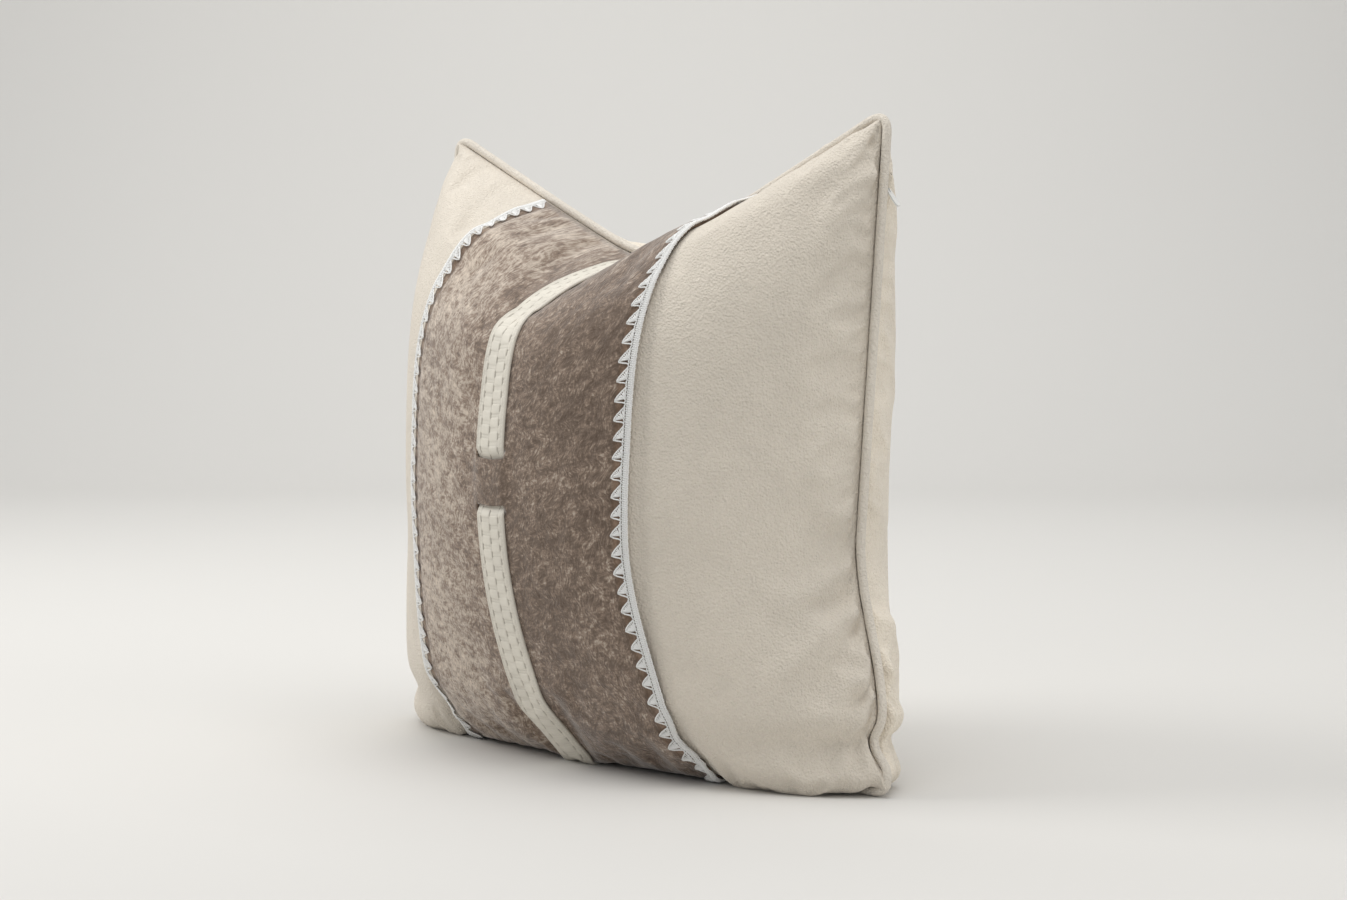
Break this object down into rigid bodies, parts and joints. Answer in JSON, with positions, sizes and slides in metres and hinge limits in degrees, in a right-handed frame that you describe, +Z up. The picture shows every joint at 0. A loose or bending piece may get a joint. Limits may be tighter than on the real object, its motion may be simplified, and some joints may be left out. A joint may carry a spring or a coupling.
{
  "type": "throw pillow",
  "caption": "Square piped throw pillow with a wide felt centre band edged in crochet trim, a woven leather strap threaded through two slits, a side zip and a separate filled insert.",
  "frame": {"origin": "on the floor, under the pressed point of the top edge, midway between the front and the back crown", "axes": "+X across the front towards the zip side, +Y from front to back, +Z up"},
  "size_m": [0.5354, 0.2833, 0.5007],
  "materials": {
    "cream_suede": "matte, fine short nap",
    "cream_suede_back": "matte, fine short nap",
    "taupe_felt": "matte, mottled brushed felt",
    "white_crochet": "matte cotton thread",
    "ivory_leather": "satin, woven pattern",
    "cream_piping": "matte, fine short nap",
    "white_cord": "matte",
    "zip_tape": "matte woven tape",
    "zip_coil": "satin",
    "zip_metal": "satin white enamel",
    "insert_lining": "matte",
    "filling": "matte fibre"
  },
  "bodies": {
    "cover": {"front_panel": "cream_suede", "back_panel": "cream_suede_back", "felt_band": "taupe_felt", "crochet_trim_left": "white_crochet", "crochet_trim_right": "white_crochet", "woven_strap": "ivory_leather", "piping_sleeve": "cream_piping", "piping_cord": "white_cord", "zip_tape_front": "zip_tape", "zip_tape_back": "zip_tape", "zip_coil_front": "zip_coil", "zip_coil_back": "zip_coil", "zip_top_stop": "zip_coil", "zip_bottom_stop": "zip_coil", "insert_casing_front": "insert_lining", "insert_casing_back": "insert_lining", "insert_filling": "filling"},
    "slider": {"zip_slider": "zip_metal"},
    "pull": {"zip_pull": "zip_metal"}
  },
  "joints": [
    {"name": "zip_slide", "type": "slide", "parent": "cover", "child": "slider", "axis": [-0.0349, -0.0499, -0.9981], "range_m": [0, 0.245]},
    {"name": "pull_swing", "type": "hinge", "parent": "slider", "child": "pull", "pos_m": [0.23927, 0.03778, 0.44321], "axis": [0, -0.9988, 0.0499], "range_deg": [-43, 110]}
  ]
}
